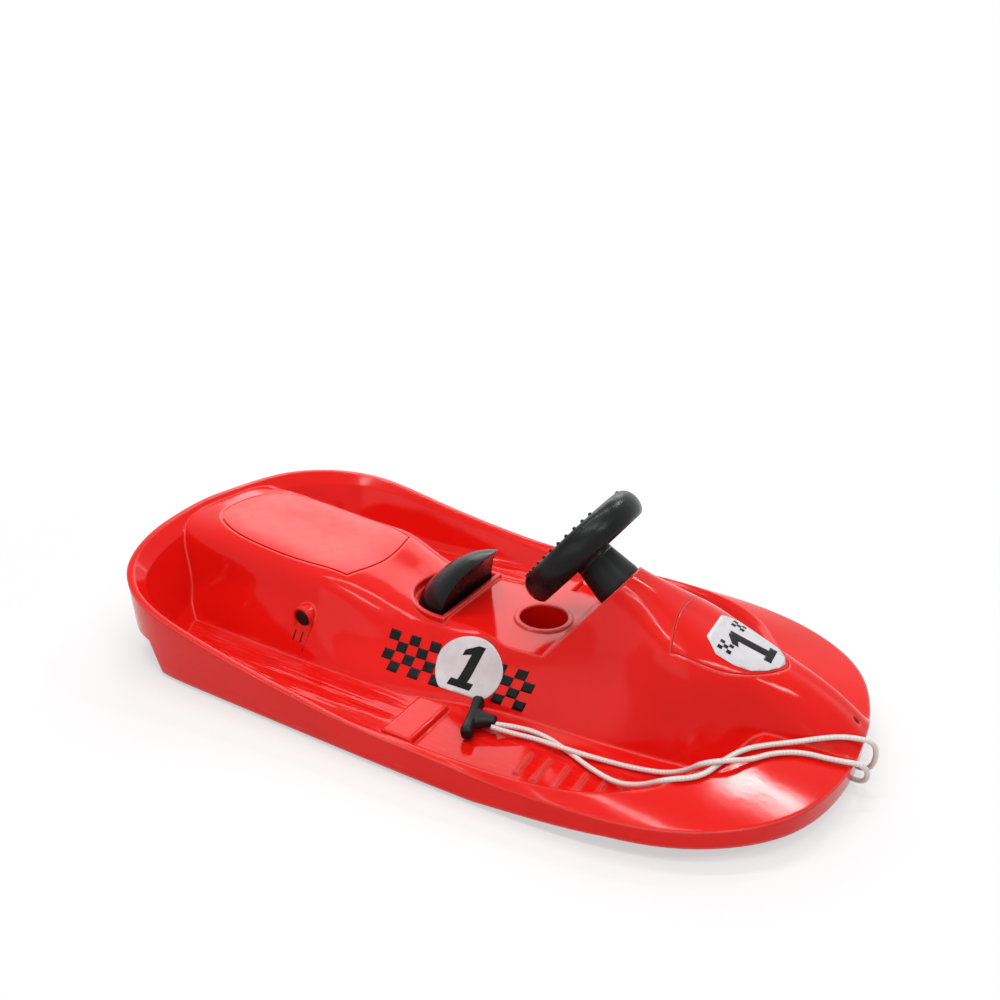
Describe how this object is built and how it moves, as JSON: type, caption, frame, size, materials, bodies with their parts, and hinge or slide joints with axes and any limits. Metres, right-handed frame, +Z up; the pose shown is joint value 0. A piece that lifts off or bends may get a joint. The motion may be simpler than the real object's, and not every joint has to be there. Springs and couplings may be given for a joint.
{
  "type": "steering sled",
  "caption": "Long moulded sled with raised seat, footwells, steering wheel turning a front runner, lever brake with claw, cup holder and tow rope.",
  "frame": {"origin": "centre of the base at ground level", "axes": "+X to the nose, +Y to the rider's left, +Z up"},
  "size_m": [1.0586, 0.5802, 0.2837],
  "materials": {
    "body_red": "glossy moulded red",
    "cover_red": "glossy moulded red",
    "seat_red": "fine matt grain",
    "grip_black": "soft black padding",
    "trim_black": "black moulded plastic",
    "dome_black": "satin black",
    "steel": "plain zinc",
    "bush_white": "natural nylon",
    "rope_white": "braided cord"
  },
  "bodies": {
    "chassis": {"hull": "body_red", "hood_cover": "cover_red", "seat_pad": "seat_red", "column_boss": "trim_black", "upper_bush": "bush_white", "lower_bush": "bush_white", "boss_screws": "steel", "rudder_pin": "steel", "rudder_washer": "steel", "brake_axle": "steel", "axle_cap_right": "trim_black", "axle_cap_left": "trim_black", "lever_spacers": "bush_white", "tow_handle": "trim_black", "tow_rope_left": "rope_white", "tow_rope_right": "rope_white", "rope_knot": "rope_white"},
    "steering": {"steering_wheel": "grip_black", "wheel_cap": "trim_black", "wheel_pin": "steel", "steering_shaft": "steel", "shaft_collar": "steel"},
    "runner": {"rudder": "trim_black"},
    "brake": {"brake_handle": "dome_black", "handle_screws": "steel", "brake_lever": "steel", "brake_claw": "steel", "claw_rivets": "steel"}
  },
  "joints": [
    {"name": "steering_turn", "type": "hinge", "parent": "chassis", "child": "steering", "pos_m": [0.20238, 0, 0.16399], "axis": [-0.788, 0, 0.6157], "range_deg": [-30, 30]},
    {"name": "runner_turn", "type": "hinge", "parent": "chassis", "child": "runner", "pos_m": [0.39302, 0, 0.02], "axis": [0, 0, 1], "range_deg": [-16, 16]},
    {"name": "brake_swing", "type": "hinge", "parent": "chassis", "child": "brake", "pos_m": [-0.21684, 0, 0.063], "axis": [0, -1, 0], "range_deg": [0, 14]}
  ],
  "couplings": [
    {"joint": "runner_turn", "follows": "steering_turn", "ratio": 0.523}
  ]
}
